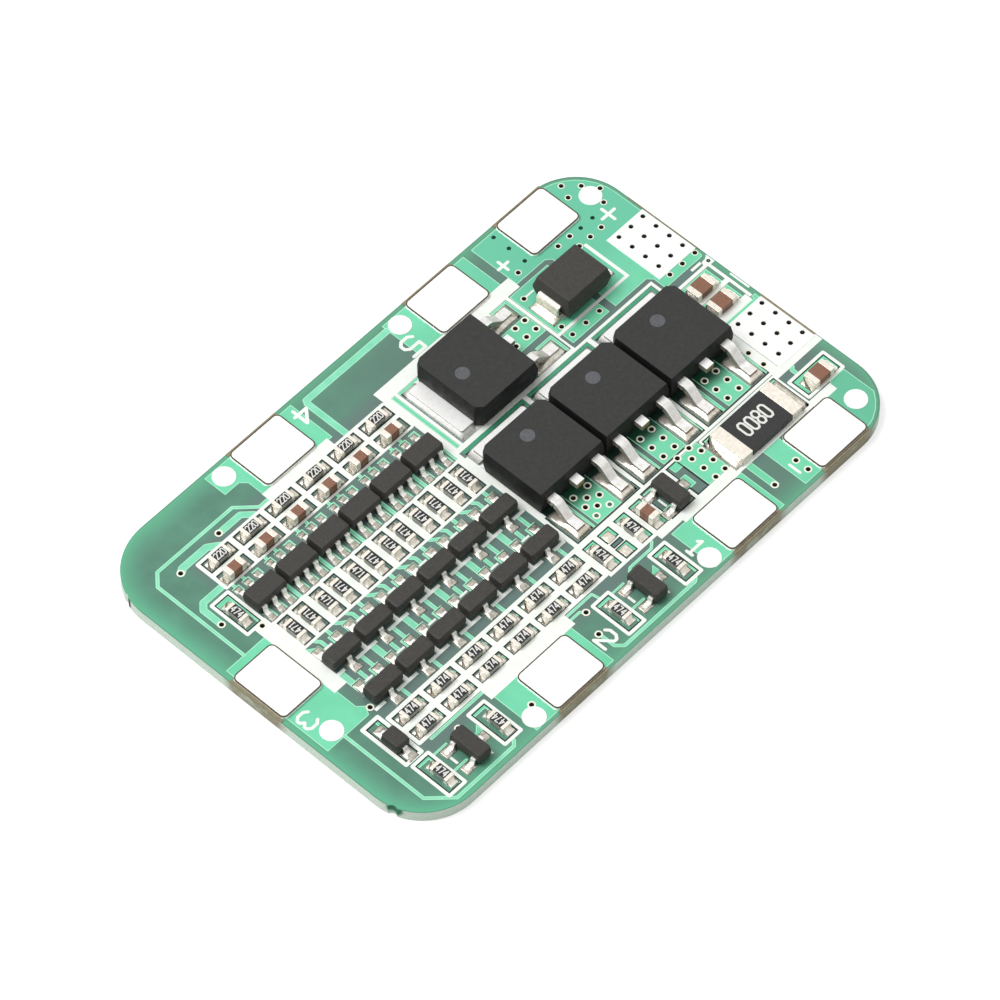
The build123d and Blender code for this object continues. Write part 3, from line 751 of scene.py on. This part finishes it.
def cell_windows():
    """Openings of the printed frames round the small parts of the six cells."""
    shapes = []
    for x in cell_x:
        shapes += rects((-1.2, 9.65, 1.55, 10.8), (-1.2, 8.15, 1.55, 9.3),
                        (-1.15, 0.72, -0.05, 3.48), (0.35, 0.72, 1.45, 3.48),
                        (-1.45, -8.85, 1.3, -7.78), (-1.45, -10.45, 1.3, -9.4), x=x)
    return shapes


prints = [
    # round the small parts
    round_rect(-19.65, 7.95, -0.5, 11.05, print_corner),
    *rects((-12.1, 11.0, -5.5, 11.8), (-20.72, -3.5, -19.5, 4.4), (-19.6, 0.5, -0.3, 3.75)),
    round_rect(-19.9, -10.75, -0.55, -7.45, print_corner),
    rect(-13.75, -11.8, -5.2, -10.5),
    # round the power transistors
    *rects((-0.5, 10.85, 13.65, 12.0), (-0.5, -7.5, -0.12, 11.0), (-0.2, -4.2, 0.08, 3.4),
           (-0.2, 4.2, 0.1, 10.9), (0.47, 4.3, 0.73, 10.9), (0.0, 10.82, 12.3, 10.95),
           (9.0, 10.6, 10.35, 10.9), (-0.5, 4.0, 12.3, 4.42), (12.0, 4.0, 20.42, 4.24),
           (20.17, 3.0, 20.42, 4.1), (6.45, 3.0, 6.85, 4.1), (13.3, 3.0, 13.7, 4.1),
           (6.4, -7.5, 6.75, -3.6), (13.24, -7.5, 13.6, -3.6), (20.12, -7.8, 20.92, -2.9),
           (-0.5, -7.9, 8.75, -7.34), (8.7, -7.62, 12.2, -7.34), (12.1, -7.66, 20.92, -7.38)),
    # surge diode
    *rects((12.1, 4.1, 12.27, 5.8), (12.1, 5.72, 12.37, 10.95), (12.1, 5.72, 19.78, 5.97),
           (19.5, 5.8, 19.78, 10.0), (13.2, 9.84, 14.1, 9.99)),
    # control row
    *rects((-0.6, -10.97, 8.7, -7.4), (4.2, -11.42, 12.15, -10.8), (6.4, -11.72, 12.15, -11.3),
           (12.1, -11.68, 20.2, -11.4)),
    # output side
    *rects((20.0, -11.88, 22.35, -11.15), (20.1, -8.22, 24.93, -7.5), (23.1, 2.62, 24.12, 2.84),
           (24.76, -1.3, 24.93, 0.55), (21.1, 2.15, 24.3, 2.42)),
    poly((24.0, 2.35), (24.3, 2.1), (24.93, 2.1), (24.93, 2.95), (24.6, 2.75), (24.2, 2.7)),
    *rects((24.25, -1.9, 24.5, 2.4), (21.1, -2.2, 24.2, -1.5), (21.1, 0.08, 24.3, 0.5)),
]
print_windows = cell_windows()
print_windows += [
    *rects((-0.3, -10.7, 0.85, -7.9), (1.25, -8.95, 2.45, -7.9), (1.3, -9.55, 2.35, -9.1),
           (1.25, -10.75, 2.45, -9.62), (2.95, -10.7, 4.1, -7.9), (4.5, -10.7, 5.7, -7.9),
           (5.95, -10.85, 8.42, -7.72), (8.75, -10.8, 9.9, -7.62), (8.3, -9.97, 9.45, -8.9)),
    disc(24.62, 2.45, 0.16, 12),
]
# Printed outlines round single parts: two corners and the width of the line
for x0, y0, x1, y1, width in (
        (12.12, -11.5, 20.15, -7.72, 0.18), (20.28, -11.05, 24.22, -8.88, 0.25),
        (-21.45, 4.15, -19.55, 7.92, 0.26), (-21.8, -11.3, -19.98, -6.85, 0.3),
        (-21.6, -15.15, -19.75, -11.4, 0.26), (-15.95, -15.1, -14.07, -11.35, 0.26),
        (-3.45, -15.25, -1.57, -11.55, 0.26), (2.35, -15.35, 4.25, -11.6, 0.26)):
    prints.append(round_rect(x0, y0, x1, y1, print_corner))
    print_windows.append(rect(x0 + width, y0 + width, x1 - width, y1 - width))

bars = rects((6.42, -9.8, 6.6, -9.0), (8.52, -8.9, 8.75, -7.6), (8.42, -10.95, 8.66, -10.0))
for x, y in stage_places:
    bars += rects((-1.55, -0.18, -1.35, 0.52), (0.72, 0.75, 0.86, 1.5),
                  (0.72, -1.4, 0.86, -0.35), x=x, y=y)
for i, x in enumerate(cell_x):
    bar_end = 2.53 if i < len(cell_x) - 1 else 1.65
    bars += rects((-0.45, -0.6, 0.28, -0.42), (-0.45, -4.48, 0.28, -4.3), x=x)
    for low in (-2.76, -6.65):
        bars += rects((0.52, 0.0, bar_end, 0.26), (1.42, 0.2, 1.78, 2.0), x=x, y=low)
    if i == 0:
        bars += rects((-1.45, -2.76, -0.67, -2.5), (-1.7, -6.65, -0.7, -6.39), x=x)

# Digits at the cell tabs and signs at the outputs: x, y, height, angle, stroke, squeeze
labels = []
for sign, *place in (
        ("4", -5.17, 14.45, 1.45, 180, 0.26, 1.2), ("5", 4.53, 12.94, 1.55, 180, 0.26, 1.2),
        ("+", 14.2, 13.0, 1.5, -90, 0.24, 1.0), ("3", -23.62, -3.67, 1.35, 180, 0.24, 1.2),
        ("2", -4.66, -14.2, 1.4, -90, 0.24, 1.2), ("1", 5.29, -13.64, 1.35, -90, 0.24, 1.2),
        ("-", 15.05, -14.28, 1.5, -90, 0.22, 1.0), ("+", 22.85, 10.6, 1.95, 180, 0.25, 1.0)):
    labels += number(sign, *place)

# Black lines inside the white print, round the leads of each lower power transistor
power_frames = []
for left, right in ((-0.12, 6.4), (6.75, 13.24), (13.6, 20.12)):
    power_frames += rects((left - 0.02, -7.35, left + 0.06, -4.7),
                          (left - 0.02, -7.42, right, -7.33),
                          (right - 0.05, -7.4, right + 0.02, -6.5))

via_hole_radius = 0.19
via_holes = [disc(x, y, via_hole_radius, 16) for x, y in vias]
land_boxes = [box_mm("output_land_positive"), box_mm("output_land_negative")]


def in_output_land(x, y):
    return any(low.x <= x <= high.x and low.y <= y <= high.y for low, high in land_boxes)


ring_radius, small_ring_radius, plug_radius = 0.3, 0.26, 0.17
plugged_places = [(2.55, -6.72), (3.9, -6.75)]
tented_places = [(15.63, 15.27), (15.65, 13.78), (15.6, 12.17), (20.55, 11.22), (21.82, 11.22)]
drawn_place = (24.17, 12.61)
rings = [disc(x, y, small_ring_radius if x > 12 and y > 3 else ring_radius)
         for x, y in vias if not in_output_land(x, y)]
rings += [disc(x, y, ring_radius) for x, y in plugged_places]
drawn_hole = disc(*drawn_place, via_hole_radius, 16)

stains = rects((24.8, -7.55, 24.985, -2.4), (24.9, 3.6, 24.985, 10.6))
stain_inset, stain_lap = 0.015, 0.02
rim_x, rim_y = board_high.x - stain_inset, board_high.y - stain_inset
for name in tab_names:
    low, high = box_mm(name)
    if low.x < -20:
        stains.append(rect(-rim_x, low.y, low.x + stain_lap, high.y))
    elif low.y < 0:
        stains.append(rect(low.x, -rim_y, high.x, low.y + stain_lap))
    else:
        stains.append(rect(low.x, high.y - stain_lap, high.x, rim_y))

# Thin sheets on the board: name, shapes, holes, height above the board, material, growth.
# A line under the mask shows as a bright rim, a painted highlight on its raised edge, with a fill
# that is drawn in a little.
no_pour = via_holes + outside_board()
land_rise = seat - board_top
sheets = [
    ("copper_pours_edge", pours, no_pour, 0.006, copper_edge_highlight, 0),
    ("copper_pours", pours, no_pour, 0.009, copper, -0.06),
    ("deep_pours", deep_pours, [], 0.01, shadowed_green, 0),
    ("copper_trace_edges", traces, via_holes, 0.012, copper_edge_highlight, 0),
    ("copper_traces", traces, via_holes, 0.014, trace_fill, -0.06),
    ("loop_trace_edge", loop, via_holes, 0.011, copper_edge_highlight, 0),
    ("loop_trace", loop, via_holes, 0.013, trace_fill, -0.07),
    ("print_edges", print_windows, [inset(w, 0.1) for w in print_windows], 0.021, print_shade, 0),
    ("white_print", prints, print_windows + via_holes, 0.022, silk, 0),
    ("power_frame_lines", power_frames, via_holes, 0.0245, print_shade, 0),
    ("white_bars", bars, via_holes, 0.023, silk, 0),
    ("white_labels", labels, via_holes, 0.024, silk, 0),
    ("via_rings", rings, via_holes, 0.026, ring_tin, 0),
    ("plugged_vias", [disc(x, y, plug_radius, 14) for x, y in plugged_places], [], 0.029,
     filled_via, 0),
    ("tented_vias", [disc(x, y, plug_radius, 14) for x, y in tented_places], [], 0.015,
     tented_via, 0),
    ("edge_stains", stains, [], land_rise + 0.006, olive, 0),
    ("drawn_via_ring", [disc(*drawn_place, small_ring_radius)], [drawn_hole], land_rise + 0.008,
     ring_tin, 0),
    # a dark disc as the painted shade of a hole that is only drawn
    ("drawn_via_hole", [drawn_hole], [], land_rise + 0.006, painted_hole_shade, 0),
]
for name, shapes, holes, rise, material, grow in sheets:
    layer(name, shapes, holes, board_top, board_top + rise, material, grow=grow)


def barrels(outer=0.18, inner=0.15, sides=14):
    """Plated walls of the holes, as short tubes through the board, coloured dark copper and
    darkened further as painted shade in the holes.
    """
    vertices, faces = [], []
    for x, y in vias:
        start = len(vertices)
        for radius, z in ((outer, 0.0), (outer, board_top), (inner, board_top), (inner, 0.0)):
            for k in range(sides):
                a = 2 * math.pi * k / sides
                vertices.append((x + radius * math.cos(a), y + radius * math.sin(a), z))
        for ring in range(4):
            here, there = start + ring * sides, start + (ring + 1) % 4 * sides
            for k in range(sides):
                after = (k + 1) % sides
                faces.append((here + k, here + after, there + after, there + k))
    new_piece("via_barrels", vertices, faces, [barrel], smooth=True)


barrels()

# Solder

bead_sag, bead_steps = 1.7, 10


def bead_height(x, y, land, foot, peak):
    """Concave solder surface: peak at the foot, falling to nothing at the land's rim."""
    (lx0, ly0, lx1, ly1), (fx0, fy0, fx1, fy1) = land, foot
    out = math.hypot(max(fx0 - x, 0, x - fx1), max(fy0 - y, 0, y - fy1))
    rim = max(min(x - lx0, lx1 - x, y - ly0, ly1 - y), 0.0)
    return peak if out == 0 else peak * (rim / (rim + out)) ** bead_sag


def bead(land, foot, peak, kind=0):
    """Adds one closed bead over a land to the solder's points, faces and kinds."""
    x0, y0, x1, y1 = land
    start, row = len(vertices), bead_steps + 1
    for j in range(row):
        for i in range(row):
            x = x0 + (x1 - x0) * i / bead_steps
            y = y0 + (y1 - y0) * j / bead_steps
            vertices.append((x, y, seat + bead_height(x, y, land, foot, peak)))
    for j in range(bead_steps):
        for i in range(bead_steps):
            a = start + j * row + i
            faces.append((a, a + 1, a + row + 1, a + row))
    rim = [start + i for i in range(bead_steps)]
    rim += [start + bead_steps + j * row for j in range(bead_steps)]
    rim += [start + row * row - 1 - i for i in range(bead_steps)]
    rim += [start + j * row for j in range(bead_steps, 0, -1)]
    faces.append(tuple(reversed(rim)))
    kinds.extend([kind] * (bead_steps ** 2 + 1))


def flat_box(corners):
    return (*corners[0].xy, *corners[1].xy)


def overlap(a, b, least=0.02):
    """The flat box that two flat boxes share, or None where that is thin or nothing."""
    x0, y0 = max(a[0], b[0]), max(a[1], b[1])
    x1, y1 = min(a[2], b[2]), min(a[3], b[3])
    return (x0, y0, x1, y1) if x1 - x0 > least and y1 - y0 > least else None


def outer_end(piece, land, length):
    """The end of a lead that stands on its land, as a flat box of this length."""
    x0, y0, x1, y1 = piece
    dx = (land[0] + land[2] - x0 - x1) / 2
    dy = (land[1] + land[3] - y0 - y1) / 2
    if abs(dx) > abs(dy):
        return (x1 - length, y0, x1, y1) if dx > 0 else (x0, y0, x0 + length, y1)
    return (x0, y1 - length, x1, y1) if dy > 0 else (x0, y0, x1, y0 + length)


def outside_body(name, land, foot, gap=0.05):
    """The parts of a land and of the metal on it that lie outside the moulded body."""
    low, high = box_mm(name.rsplit("_", 1)[0] + "_body")
    dx = (land[0] + land[2] - low.x - high.x) / 2
    dy = (land[1] + land[3] - low.y - high.y) / 2
    if abs(dx) < abs(dy):
        return [(flat[0], high.y + gap, flat[2], flat[3]) for flat in (land, foot)]
    if dx < 0:
        return [(flat[0], flat[1], low.x - gap, flat[3]) for flat in (land, foot)]
    return [(high.x + gap, flat[1], flat[2], flat[3]) for flat in (land, foot)]


# Heights of the solder at each kind of metal, and lengths of the leads' feet
power_peak, power_foot = 0.3, 1.1
small_peak, small_foot = 0.11, 0.35
drain_peak, least_drain_land = 0.42, 5.0
surge_peak = 0.3
chip_share = 0.72
bare_peak, bare_half, most_bare_land = 0.05, 0.05, 2.0

lands = [flat_box(c) for c in islands("component_lands") + islands("power_lands")]
vertices, faces, kinds = [], [], []
soldered = set()


def solder_metal(name, corners):
    """Adds the beads between one solid of a node and the lands under it."""
    slot_name = slots[name]
    metal = flat_box(corners)
    for i, land in enumerate(lands):
        foot = overlap(metal, land)
        if not foot or (slot_name == "plated_drain" and land[2] - land[0] < least_drain_land):
            continue
        soldered.add(i)
        if slot_name == "plated_drain":
            bead(*outside_body(name, land, foot), drain_peak, 1)
        elif name.startswith("power_transistor"):
            bead(land, outer_end(metal, land, power_foot), power_peak)
        elif slot_name == "tinned_lead":
            bead(land, outer_end(metal, land, small_foot), small_peak, 2)
        elif name.startswith("surge"):
            bead(*outside_body(name, land, foot), surge_peak)
        else:
            bead(land, foot, (corners[1].z - corners[0].z) * chip_share)


for name in sorted(nodes):
    if slots[name] in ("tinned_lead", "tinned_terminal", "plated_drain"):
        for corners in islands(name):
            solder_metal(name, corners)
for i, land in enumerate(lands):
    if i not in soldered and land[2] - land[0] < most_bare_land:
        x, y = (land[0] + land[2]) / 2, (land[1] + land[3]) / 2
        bead(land, (x - bare_half, y - bare_half, x + bare_half, y + bare_half), bare_peak)
new_piece("solder_fillets", vertices, faces, [solder, drain_solder, foot_solder],
          smooth=True, face_material=kinds)

# Discs in the mould marks of the power transistors, and the rims of the tabs

dimple_radius, dimple_shift = 0.56, 1.3
marks = [disc(x, middle_mm("power_transistor_1_body").y + dimple_shift, dimple_radius, 32)
         for x in power_x]
upper_middle = middle_mm("power_transistor_4_body")
marks.append(disc(upper_middle.x - dimple_shift, upper_middle.y, dimple_radius, 32))
power_top = box_mm("power_transistor_1_body")[1].z
layer("mould_marks", marks, [], power_top - 0.052, power_top - 0.03, dimple_epoxy)

tab_radius, tab_rim_out, tab_rim_in = 0.45, 0.015, 0.085
tabs = []
for name in tab_names:
    low, high = box_mm(name)
    tabs.append(round_rect(low.x, low.y, high.x, high.y, tab_radius))
tab_top = box_mm("cell_tab_1")[1].z
layer("tab_rims", [inset(tab, -tab_rim_out) for tab in tabs],
      [inset(tab, tab_rim_in) for tab in tabs], tab_top - 0.05, tab_top + 0.004, rim_shade)

# Glaze, end wraps and value codes of the chips, and the code of the shunt

wrap_length, wrap_gap, wrap_bevel = 0.44, 0.012, 0.07
glaze_out, glaze_in = 0.05, 0.02
box_sides = ((3, 2, 1, 0), (4, 5, 6, 7), (0, 1, 5, 4), (1, 2, 6, 5), (2, 3, 7, 6), (3, 0, 4, 7))


def glaze_tops():
    """Black glaze on the chip resistors, a little longer and narrower than their bodies."""
    glazes = []
    for name in nodes:
        if "resistor" not in name or not name.endswith("_bodies"):
            continue
        for low, high in islands(name):
            along_x = high.x - low.x > high.y - low.y
            out_x, out_y = (glaze_out, -glaze_in) if along_x else (-glaze_in, glaze_out)
            glazes.append(rect(low.x - out_x, low.y - out_y, high.x + out_x, high.y + out_y))
            top = high.z
    layer("glaze_tops", glazes, [], top - 0.01, top + 0.01, glaze)


def capacitor_wraps():
    """Metal wrapped round the ends of the filter capacitors."""
    points, sides = [], []
    bodies = islands("filter_capacitor_bodies")
    for low, high in islands("filter_capacitor_terminals"):
        nearest = min(bodies, key=lambda body: (body[0] + body[1] - low - high).length)
        towards = nearest[0] + nearest[1] - low - high
        axis = 0 if abs(towards.x) > abs(towards.y) else 1
        if towards[axis] > 0:
            high[axis] = low[axis] + wrap_length
            low[axis] -= wrap_gap
        else:
            low[axis] = high[axis] - wrap_length
            high[axis] += wrap_gap
        low[1 - axis] -= wrap_gap
        high[1 - axis] += wrap_gap
        high.z += wrap_gap
        start = len(points)
        for z in (low.z, high.z):
            points += [(low.x, low.y, z), (high.x, low.y, z), (high.x, high.y, z),
                       (low.x, high.y, z)]
        sides += [tuple(start + k for k in side) for side in box_sides]
    wraps = new_piece("capacitor_wraps", points, sides, [terminal],
                      smooth=True)
    round_edges(wraps, wrap_bevel, 3)


def value_codes():
    """Three digits on each chip resistor, some of them upside down, and four on the shunt."""
    shapes_by_height = {}
    rows = [("filter_resistor_bodies", "220", 0, ()), ("divider_resistor_bodies", "474", 0, ()),
            ("gate_resistor_bodies", "471", 90, (2, 4)),
            ("control_resistor_bodies", "474", -90, (2,))]
    for name, digits, angle, turned in rows:
        for i, (low, high) in enumerate(islands(name)):
            x, y = ((low + high) / 2).xy
            shapes = number(digits, x, y, 0.53, angle + (180 if i in turned else 0), 0.085, 0.66)
            shapes_by_height.setdefault(round(high.z, 3), []).extend(shapes)
    for height, shapes in shapes_by_height.items():
        layer("value_codes", shapes, [], height + 0.008, height + 0.016, value_print)
    low, high = box_mm("shunt_body")
    x, y = ((low + high) / 2).xy
    layer("shunt_code", number("0080", x, y + 0.1, 1.25, 0, 0.17, 0.62), [], high.z,
          high.z + 0.008, value_print)


glaze_tops()
capacitor_wraps()
value_codes()

# Stage, light and camera

floor_half, floor_drop = 3.0, -0.02
floor_grey, floor_glow = 0.55, 0.6
sky_light, sky_seen = 0.46, 1.0
key_direction, key_distance = (-0.3, 0.36, 0.88), 0.7
key_size, key_power = 0.45, 3.6


def floor():
    """Pale floor with a soft shadow, lifted to white where the camera sees it."""
    mesh = bpy.data.meshes.new("floor")
    corners = [(x * floor_half, y * floor_half, 0) for x, y in ((-1, -1), (1, -1), (1, 1), (-1, 1))]
    mesh.from_pydata(corners, [], [(0, 1, 2, 3)])
    material = bpy.data.materials.new("floor")
    material.use_nodes = True
    tree = material.node_tree
    tree.nodes.clear()
    diffuse = add_node(tree, "BsdfDiffuse", Color=(floor_grey, floor_grey, floor_grey, 1))
    seen = add_node(tree, "LightPath").outputs["Is Camera Ray"]
    strength = ramp(tree, seen, 0.0, 1.0, 0.0, floor_glow)
    glow = add_node(tree, "Emission", Color=(1, 1, 1, 1), Strength=strength)
    both = add_node(tree, "AddShader")
    fill(tree, both.inputs[0], diffuse.outputs[0])
    fill(tree, both.inputs[1], glow.outputs[0])
    add_node(tree, "OutputMaterial", Surface=both.outputs[0])
    mesh.materials.append(material)
    plane = bpy.data.objects.new("floor", mesh)
    plane.location.z = floor_drop * MM
    bpy.context.scene.collection.objects.link(plane)


def aimed(name, data, target, towards, distance):
    """Lamp or camera at a distance from its target, turned to face it."""
    thing = bpy.data.objects.new(name, data)
    thing.location = target + towards * distance
    thing.rotation_mode = "QUATERNION"
    thing.rotation_quaternion = towards.to_track_quat("Z", "Y")
    bpy.context.scene.collection.objects.link(thing)
    return thing


def key_light():
    light = bpy.data.lights.new("key", "AREA")
    light.shape = "DISK"
    light.size = key_size
    light.energy = key_power
    aimed("key", light, Vector(), Vector(key_direction).normalized(), key_distance)


def world():
    """White surroundings, bright where the camera or a reflection sees them."""
    made = bpy.data.worlds.new("studio")
    bpy.context.scene.world = made
    made.use_nodes = True
    tree = made.node_tree
    back = tree.nodes["Background"]
    path = add_node(tree, "LightPath")
    mirrored = add_node(tree, "Math")
    mirrored.operation = "MAXIMUM"
    fill(tree, mirrored.inputs[0], path.outputs["Is Camera Ray"])
    fill(tree, mirrored.inputs[1], path.outputs["Is Glossy Ray"])
    strength = ramp(tree, mirrored.outputs["Value"], 0.0, 1.0, sky_light, sky_seen)
    fill(tree, back.inputs["Color"], (1, 1, 1, 1))
    fill(tree, back.inputs["Strength"], strength)


camera_azimuth, camera_elevation = -47.2006, 55.1137
camera_aim = Vector((-0.5497, -0.3469, 0.0)) * MM
camera_distance, camera_lens = 0.45735, 233.29


def camera():
    data = bpy.data.cameras.new("camera")
    data.sensor_width = 36.0
    data.lens = camera_lens
    data.clip_start = 0.01
    data.clip_end = 20.0
    a, e = math.radians(camera_azimuth), math.radians(camera_elevation)
    back = Vector((math.sin(a) * math.cos(e), -math.cos(a) * math.cos(e), math.sin(e)))
    bpy.context.scene.camera = aimed("camera", data, camera_aim, back, camera_distance)


floor()
world()
key_light()
camera()
bpy.context.scene.view_settings.view_transform = "Standard"
